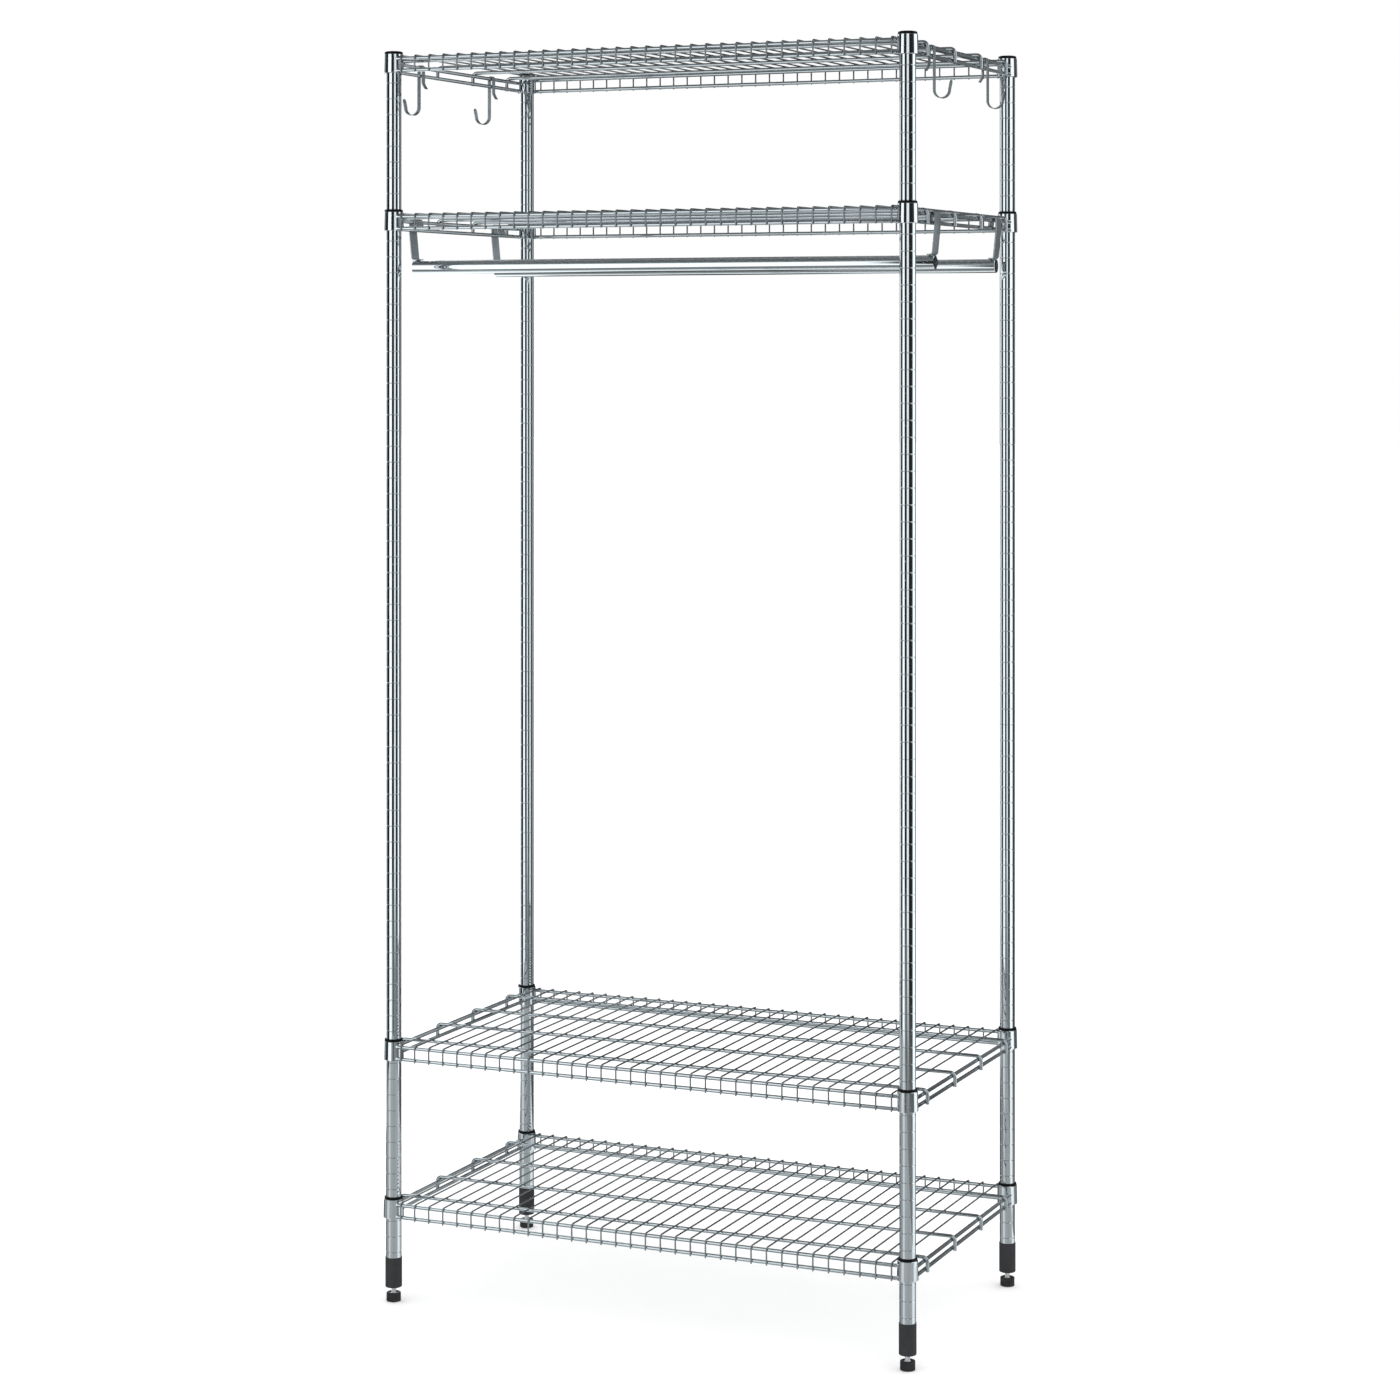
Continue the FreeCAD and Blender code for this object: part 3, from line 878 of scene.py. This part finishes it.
def room_tones(tree, turn, stops, blend=0.0):
    """Greys by an angle in degrees: panels with soft edges, or slopes when blend is nothing."""
    ramp = tree.nodes.new("ShaderNodeValToRGB")
    ramp.color_ramp.interpolation = "LINEAR"
    places = stops
    if blend:
        places = []
        for (start, tone), (end, _) in zip(stops, stops[1:] + [(half_turn, None)]):
            places += [(start + blend, tone), (end - blend, tone)]
    while len(ramp.color_ramp.elements) < len(places):
        ramp.color_ramp.elements.new(1.0)
    for stop, (degrees, tone) in zip(ramp.color_ramp.elements, places):
        stop.position = degrees / half_turn / 2 + 0.5
        stop.color = (*[tone * tint for tint in studio_tint], 1.0)
    link(tree, turn, ramp.inputs["Fac"])
    return ramp.outputs["Color"]


def mixed(tree, factor, first, second):
    node = tree.nodes.new("ShaderNodeMix")
    node.data_type = "RGBA"
    for label, value in (("Factor", factor), ("A", first), ("B", second)):
        if isinstance(value, tuple):
            node.inputs[label].default_value = (*value, 1.0)
        else:
            link(tree, value, node.inputs[label])
    return node.outputs["Result"]


# The near wall. Its panels are given by where they start, in degrees round its middle from +X.
wall_r = 1.531
wall_middle = (-0.314, -0.728)
wall_top = 3.2
wall_sides = 128
high_blend, low_blend = 1.5, 2.0
foot_from, foot_to = 0.15, 0.40
head_from, head_to = 2.3, 2.9
head_grey = (0.2, 0.2, 0.2)
wall_shape = bmesh.new()
bmesh.ops.create_cone(
    wall_shape, segments=wall_sides, radius1=wall_r, radius2=wall_r, depth=wall_top
)
bmesh.ops.translate(wall_shape, verts=wall_shape.verts, vec=(0.0, 0.0, floor_z + wall_top / 2))
wall = bpy.data.objects.new("studio_wall", finished(wall_shape, "studio_wall"))
wall.location = (*wall_middle, 0.0)
bpy.context.collection.objects.link(wall)
wall.visible_camera = wall.visible_diffuse = wall.visible_shadow = False
panels = bpy.data.materials.new("studio_panels")
panels.use_nodes = True
wall_tree = panels.node_tree
wall_tree.nodes.remove(wall_tree.nodes["Principled BSDF"])
spot = wall_tree.nodes.new("ShaderNodeSeparateXYZ")
spot_place = wall_tree.nodes.new("ShaderNodeTexCoord").outputs["Object"]
link(wall_tree, spot_place, spot.inputs["Vector"])
round_wall = maths(wall_tree, "ARCTAN2", spot.outputs["Y"], spot.outputs["X"])
round_wall = maths(wall_tree, "MULTIPLY_ADD", round_wall, per_turn, 0.5)
high_tones = room_tones(
    wall_tree,
    round_wall,
    [
        (-180.0, 0.00), (-143.0, 1.50), (-94.0, 0.03), (-72.0, 0.00), (-54.5, 0.35), (-47.0, 1.18),
        (-18.5, 0.02), (12.0, 0.06), (21.0, 1.50), (42.5, 0.02), (50.0, 0.20), (60.0, 0.03),
        (75.0, 0.75), (84.0, 0.05), (110.0, 1.50), (147.5, 0.25),
    ],
    high_blend,
)
low_tones = room_tones(
    wall_tree,
    round_wall,
    [
        (-180.0, 0.02), (-143.0, 1.40), (-94.0, 0.40), (-72.0, 0.10), (-54.5, 0.30), (-18.5, 0.25),
        (21.0, 1.20), (42.5, 0.25), (58.0, 0.10), (110.0, 1.30), (147.5, 0.30),
    ],
    low_blend,
)
foot_fade = map_range(wall_tree, spot.outputs["Z"], foot_from, foot_to, 0.0, 1.0)
head_fade = map_range(wall_tree, spot.outputs["Z"], head_from, head_to, 0.0, 1.0)
tones = mixed(wall_tree, foot_fade, low_tones, high_tones)
tones = mixed(wall_tree, head_fade, tones, head_grey)
glow = wall_tree.nodes.new("ShaderNodeEmission")
link(wall_tree, tones, glow.inputs["Color"])
link(wall_tree, glow.outputs["Emission"], wall_tree.nodes["Material Output"].inputs["Surface"])
wall.data.materials.append(panels)

# Past the wall, the way round is 0 straight back at the camera and + to its right; the way over the
# room is 0 at the back, 90 overhead, 180 in front and -90 underfoot.
floor_blend = 3.0
steep_from, steep_to = 0.36, 0.46
soft_from, soft_to = -0.2, 0.9
soft_low, soft_high = (1.0, 1.0, 1.01), (1.45, 1.45, 1.44)
plain_white = (1.0, 1.0, 1.0)
room_tree = room.node_tree
ray = room_tree.nodes.new("ShaderNodeSeparateXYZ")
ray_way = room_tree.nodes.new("ShaderNodeTexCoord").outputs["Generated"]
link(room_tree, ray_way, ray.inputs["Vector"])
azimuth = maths(room_tree, "ARCTAN2", ray.outputs["Y"], ray.outputs["X"])
from_camera = maths(room_tree, "ADD", azimuth, math.pi / 2 - view_turn)
way_round = maths(room_tree, "MULTIPLY_ADD", from_camera, per_turn, 0.5)
way_round = maths(room_tree, "FRACT", way_round)
over = maths(room_tree, "ARCTAN2", ray.outputs["Z"], ray.outputs["Y"])
way_over = maths(room_tree, "MULTIPLY_ADD", over, per_turn, 0.5)
low_floor = room_tones(
    room_tree,
    way_round,
    [
        (-180.0, 0.08), (-125.0, 0.40), (-75.0, 0.85), (-45.0, 0.50), (-10.0, 0.45), (30.0, 0.50),
        (65.0, 1.10), (100.0, 0.80), (131.0, 0.06),
    ],
    floor_blend,
)
floor_and_ceiling = room_tones(
    room_tree,
    way_over,
    [
        (-180.0, 1.40), (-160.0, 0.95), (-141.0, 0.45), (-122.0, 0.20), (-105.0, 0.28),
        (-90.0, 0.75), (-76.0, 1.30), (-54.0, 1.25), (-36.0, 0.50), (-15.0, 0.08), (10.0, 0.05),
        (43.0, 0.12), (66.0, 0.20), (78.0, 0.26), (92.0, 0.20), (105.0, 0.12), (125.0, 0.14),
        (140.0, 0.24), (156.0, 0.60), (168.0, 1.20), (180.0, 1.40),
    ],
)
steep = maths(room_tree, "ABSOLUTE", ray.outputs["Z"])
steep = map_range(room_tree, steep, steep_from, steep_to, 0.0, 1.0)
mirrored = mixed(room_tree, steep, low_floor, floor_and_ceiling)
ceiling_share = map_range(room_tree, ray.outputs["Z"], soft_from, soft_to, 0.0, 1.0)
soft = mixed(room_tree, ceiling_share, soft_low, soft_high)
light_path = room_tree.nodes.new("ShaderNodeLightPath")
lit = mixed(room_tree, light_path.outputs["Is Glossy Ray"], soft, mirrored)
seen = mixed(room_tree, light_path.outputs["Is Camera Ray"], lit, plain_white)
link(room_tree, seen, room_tree.nodes["Background"].inputs["Color"])

camera = bpy.data.objects.new("camera", bpy.data.cameras.new("camera"))
camera.location = camera_place
camera.rotation_euler = (math.pi / 2, 0.0, view_turn)
camera.data.sensor_width = camera_sensor
camera.data.lens = camera_lens
camera.data.shift_y = camera_shift
bpy.context.collection.objects.link(camera)
bpy.context.scene.camera = camera
bpy.context.scene.view_settings.view_transform = "Standard"
